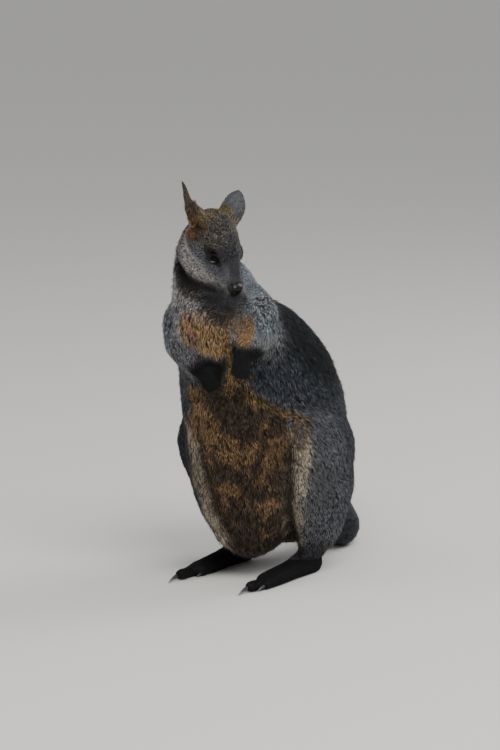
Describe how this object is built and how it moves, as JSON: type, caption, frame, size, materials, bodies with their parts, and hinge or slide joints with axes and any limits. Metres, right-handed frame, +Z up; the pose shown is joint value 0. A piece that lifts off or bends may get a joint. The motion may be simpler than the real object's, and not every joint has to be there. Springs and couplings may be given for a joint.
{
  "type": "wallaby",
  "caption": "Life-size still model of a swamp wallaby standing upright, head turned over its left shoulder, forepaws before a rufous chest, tail laid on the floor behind.",
  "frame": {"origin": "on the floor, under the middle of the box round the whole animal, tail included", "axes": "+Z up, +Y from the chest towards the back, so the animal's body faces -Y, and +X towards the animal's left side"},
  "size_m": [0.4754, 0.8484, 0.7084],
  "materials": {
    "grizzled_fur": "coarse grizzled grey fur, dark hairs with pale bands below dark tips",
    "dark_fur": "long near-black back fur, lightly grizzled",
    "rufous_fur": "rufous and dark brown mottled belly and chest fur",
    "black_fur": "short black fur of hands, feet and tail",
    "ear_skin": "thin ear skin under short grey hair",
    "nose_leather": "bare moist pebbled nose leather",
    "eye": "wet near-black brown eye",
    "claw_horn": "grey horn claw, paler where worn"
  },
  "bodies": {
    "root": {"back": "dark_fur", "belly": "rufous_fur", "chest": "rufous_fur", "claw_fifth_toe_left": "claw_horn", "claw_fifth_toe_right": "claw_horn", "claw_finger_1_left": "claw_horn", "claw_finger_1_right": "claw_horn", "claw_finger_2_left": "claw_horn", "claw_finger_2_right": "claw_horn", "claw_finger_3_left": "claw_horn", "claw_finger_3_right": "claw_horn", "claw_finger_4_left": "claw_horn", "claw_finger_4_right": "claw_horn", "claw_finger_5_left": "claw_horn", "claw_finger_5_right": "claw_horn", "claw_fourth_toe_left": "claw_horn", "claw_fourth_toe_right": "claw_horn", "claw_grooming_toe_left": "claw_horn", "claw_grooming_toe_right": "claw_horn", "ear_left": "ear_skin", "ear_right": "ear_skin", "eye_left": "eye", "eye_right": "eye", "foot_left": "black_fur", "foot_right": "black_fur", "forearm_left": "grizzled_fur", "forearm_right": "grizzled_fur", "hand_left": "black_fur", "hand_right": "black_fur", "head": "grizzled_fur", "lower_jaw": "grizzled_fur", "muzzle": "grizzled_fur", "neck": "grizzled_fur", "nose_pad": "nose_leather", "rump": "dark_fur", "shank_left": "grizzled_fur", "shank_right": "grizzled_fur", "tail_base": "black_fur", "tail_middle": "black_fur", "tail_tip": "black_fur", "thigh_left": "grizzled_fur", "thigh_right": "grizzled_fur", "upper_arm_left": "grizzled_fur", "upper_arm_right": "grizzled_fur"}
  },
  "joints": []
}
